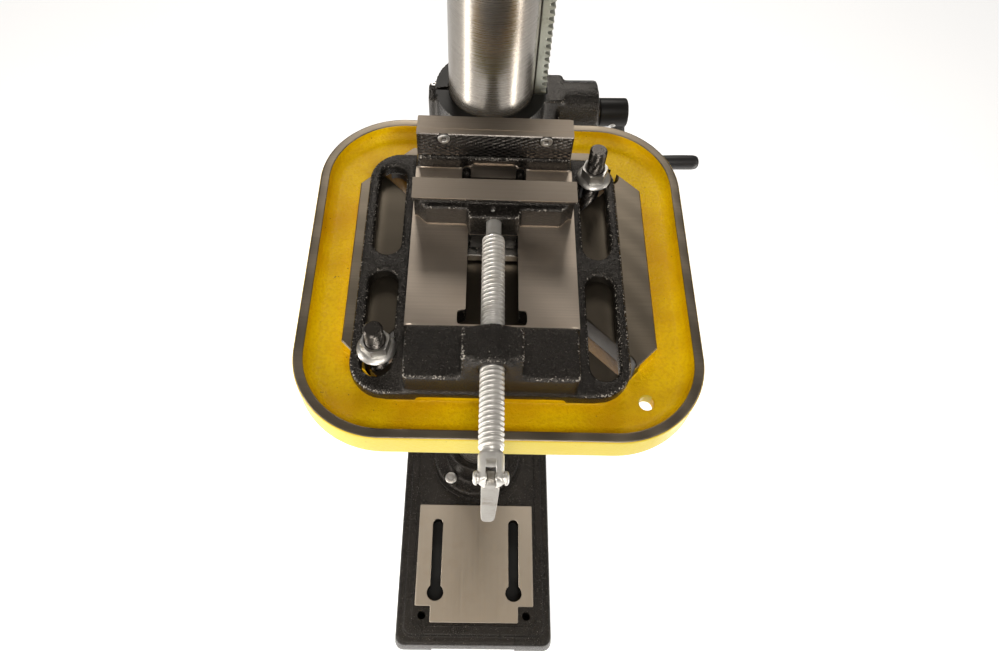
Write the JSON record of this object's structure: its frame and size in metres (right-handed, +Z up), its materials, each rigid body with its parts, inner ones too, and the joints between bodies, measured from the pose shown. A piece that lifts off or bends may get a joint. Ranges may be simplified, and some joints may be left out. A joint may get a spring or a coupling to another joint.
{
  "type": "floor drill press",
  "caption": "Floor-standing drill press: column on a slotted base, lifting and tilting trough table with a screw vise, belt-driven head with chuck and feed levers.",
  "frame": {"origin": "on the axis of the column, at floor level", "axes": "+Z up along the column, -Y towards the operator, +X to the operator's right"},
  "size_m": [0.3226, 0.6457, 1.4795],
  "materials": {
    "black_cast": "gloss black enamel over a rough casting",
    "black_sheet": "satin black paint",
    "black_oxide": "black oxide",
    "zinc": "bright zinc plating",
    "rack_steel": "zinc phosphate grey",
    "steel": "turned and ground",
    "light_alloy": "turned",
    "yellow_paint": "yellow enamel with machined grey top faces",
    "black_plastic": "satin",
    "belt_rubber": "matt",
    "green_plastic": "satin",
    "red_plastic": "satin"
  },
  "bodies": {
    "stand": {"base": "black_cast", "column_flange": "black_cast", "flange_bolts": "zinc", "column": "steel", "rack_collar": "black_cast", "set_screws": "black_oxide", "head_casting": "black_cast", "cover_pan": "black_sheet", "drive_belt": "belt_rubber", "spring_cap": "black_cast", "switch_box": "black_plastic"},
    "lid": {"cover_lid": "black_sheet"},
    "motor_unit": {"motor_slide": "steel", "motor": "black_sheet"},
    "motor_rotor": {"motor_pulley": "light_alloy"},
    "drive_pulley": {"spindle_pulley": "light_alloy"},
    "quill_unit": {"quill": "steel", "stop_arm": "black_cast", "stop_rod": "steel", "stop_nuts": "zinc"},
    "spindle_unit": {"spindle": "steel", "chuck_body": "steel"},
    "sleeve": {"chuck_sleeve": "steel"},
    "jaw_a": {"chuck_jaw_a": "steel"},
    "jaw_b": {"chuck_jaw_b": "steel"},
    "jaw_c": {"chuck_jaw_c": "steel"},
    "feed_unit": {"feed_hub": "steel", "feed_rod_a": "steel", "feed_rod_b": "steel", "feed_rod_c": "steel", "feed_knob_a": "black_plastic", "feed_knob_b": "black_plastic", "feed_knob_c": "black_plastic"},
    "start_key": {"start_button": "green_plastic"},
    "stop_key": {"stop_button": "red_plastic"},
    "rack_unit": {"rack": "rack_steel"},
    "bracket_unit": {"bracket": "black_cast", "tilt_bolt": "zinc", "ear_screw": "zinc"},
    "crank_unit": {"worm_shaft": "steel", "crank": "black_oxide", "crank_screw": "zinc"},
    "grip": {"crank_grip": "black_plastic"},
    "pinion_unit": {"pinion": "steel"},
    "column_lever": {"column_lock": "zinc"},
    "arm_unit": {"table_arm": "black_cast"},
    "table_lever": {"table_lock": "zinc"},
    "table_unit": {"table": "yellow_paint", "vise_body": "black_cast", "vise_studs": "black_oxide", "vise_nuts": "zinc", "fixed_jaw_plate": "black_oxide", "fixed_plate_screws": "zinc"},
    "jaw_unit": {"moving_jaw": "black_cast", "moving_jaw_plate": "black_oxide", "moving_plate_screws": "zinc", "jaw_keeper": "steel"},
    "screw_unit": {"vise_screw": "zinc", "clevis_pin": "zinc"},
    "handle_unit": {"vise_handle": "zinc"}
  },
  "joints": [
    {"name": "lid_hinge", "type": "hinge", "parent": "stand", "child": "lid", "pos_m": [-0.109, 0, 1.436], "axis": [0, -1, 0], "range_deg": [0, 95]},
    {"name": "motor_adjust", "type": "slide", "parent": "stand", "child": "motor_unit", "axis": [0, -1, 0], "range_m": [0, 0.008]},
    {"name": "motor_spin", "type": "hinge", "parent": "motor_unit", "child": "motor_rotor", "pos_m": [0, 0.175, 1.43], "axis": [0, 0, 1], "continuous": true},
    {"name": "pulley_spin", "type": "hinge", "parent": "stand", "child": "drive_pulley", "pos_m": [0, -0.1995, 1.43], "axis": [0, 0, 1], "continuous": true},
    {"name": "quill_feed", "type": "slide", "parent": "stand", "child": "quill_unit", "axis": [0, 0, -1], "range_m": [0, 0.08]},
    {"name": "spindle_spin", "type": "hinge", "parent": "quill_unit", "child": "spindle_unit", "pos_m": [0, -0.1995, 1.2], "axis": [0, 0, 1], "continuous": true},
    {"name": "chuck_turn", "type": "hinge", "parent": "spindle_unit", "child": "sleeve", "pos_m": [0, -0.1995, 1.143], "axis": [0, 0, 1], "range_deg": [-360, 810]},
    {"name": "jaw_a_slide", "type": "slide", "parent": "spindle_unit", "child": "jaw_a", "axis": [0, -0.2588, -0.9659], "range_m": [-0.0041, 0.0091]},
    {"name": "jaw_b_slide", "type": "slide", "parent": "spindle_unit", "child": "jaw_b", "axis": [0.2241, 0.1294, -0.9659], "range_m": [-0.0041, 0.0091]},
    {"name": "jaw_c_slide", "type": "slide", "parent": "spindle_unit", "child": "jaw_c", "axis": [-0.2241, 0.1294, -0.9659], "range_m": [-0.0041, 0.0091]},
    {"name": "feed_turn", "type": "hinge", "parent": "stand", "child": "feed_unit", "pos_m": [0.097, -0.1645, 1.252], "axis": [1, 0, 0], "range_deg": [0, 380], "stiffness_Nm_per_rad": 0.2, "springref_deg": -229.18},
    {"name": "start_press", "type": "slide", "parent": "stand", "child": "start_key", "axis": [0, 1, 0], "range_m": [0, 0.003], "stiffness_N_per_m": 600, "springref_m": -0.001},
    {"name": "stop_press", "type": "slide", "parent": "stand", "child": "stop_key", "axis": [0, 1, 0], "range_m": [0, 0.003], "stiffness_N_per_m": 600, "springref_m": -0.001},
    {"name": "table_swing", "type": "hinge", "parent": "stand", "child": "rack_unit", "pos_m": [0, 0, 0.8], "axis": [0, 0, 1], "range_deg": [-180, 180]},
    {"name": "table_lift", "type": "slide", "parent": "rack_unit", "child": "bracket_unit", "axis": [0, 0, 1], "range_m": [-0.5026, 0.0753]},
    {"name": "crank_turn", "type": "hinge", "parent": "bracket_unit", "child": "crank_unit", "pos_m": [0.10493, 0.00392, 0.8562], "axis": [0.9993, 0.0373, 0], "range_deg": [-28800, 4320]},
    {"name": "grip_spin", "type": "hinge", "parent": "crank_unit", "child": "grip", "pos_m": [0.16988, 0.00635, 0.7937], "axis": [0.9993, 0.0373, 0], "continuous": true},
    {"name": "pinion_turn", "type": "hinge", "parent": "bracket_unit", "child": "pinion_unit", "pos_m": [0.05546, 0.00207, 0.8362], "axis": [0.0373, -0.9993, 0], "range_deg": [-2401, 361]},
    {"name": "column_clamp", "type": "hinge", "parent": "bracket_unit", "child": "column_lever", "pos_m": [-0.05175, -0.02095, 0.812], "axis": [-0.0373, 0.9993, 0], "range_deg": [-20, 60]},
    {"name": "table_tilt", "type": "hinge", "parent": "bracket_unit", "child": "arm_unit", "pos_m": [0.00254, -0.06795, 0.832], "axis": [-0.0373, 0.9993, 0], "range_deg": [-45, 45]},
    {"name": "table_clamp", "type": "hinge", "parent": "arm_unit", "child": "table_lever", "pos_m": [0.0328, -0.23494, 0.836], "axis": [0.9993, 0.0373, 0], "range_deg": [-60, 15]},
    {"name": "table_turn", "type": "hinge", "parent": "arm_unit", "child": "table_unit", "pos_m": [0.00745, -0.19936, 0.9], "axis": [0, 0, 1], "range_deg": [-90, 90]},
    {"name": "jaw_travel", "type": "slide", "parent": "table_unit", "child": "jaw_unit", "axis": [0, 1, 0], "range_m": [-0.05699, 0.03299]},
    {"name": "screw_turn", "type": "hinge", "parent": "jaw_unit", "child": "screw_unit", "pos_m": [0.0017, -0.3, 0.9523], "axis": [0, 1, 0], "range_deg": [-6840, 3960]},
    {"name": "handle_swing", "type": "hinge", "parent": "screw_unit", "child": "handle_unit", "pos_m": [0.0017, -0.3617, 0.9523], "axis": [-1, 0, 0], "range_deg": [0, 180]}
  ],
  "couplings": [
    {"joint": "motor_spin", "follows": "pulley_spin", "ratio": 1},
    {"joint": "spindle_spin", "follows": "pulley_spin", "ratio": 1},
    {"joint": "jaw_a_slide", "follows": "chuck_turn", "m_per_rad": 0.00063662},
    {"joint": "jaw_b_slide", "follows": "chuck_turn", "m_per_rad": 0.00063662},
    {"joint": "jaw_c_slide", "follows": "chuck_turn", "m_per_rad": 0.00063662},
    {"joint": "quill_feed", "follows": "feed_turn", "m_per_rad": 0.012},
    {"joint": "crank_turn", "follows": "table_lift", "rad_per_m": 1000},
    {"joint": "pinion_turn", "follows": "table_lift", "rad_per_m": 83.333},
    {"joint": "screw_turn", "follows": "jaw_travel", "rad_per_m": 2094.4}
  ]
}
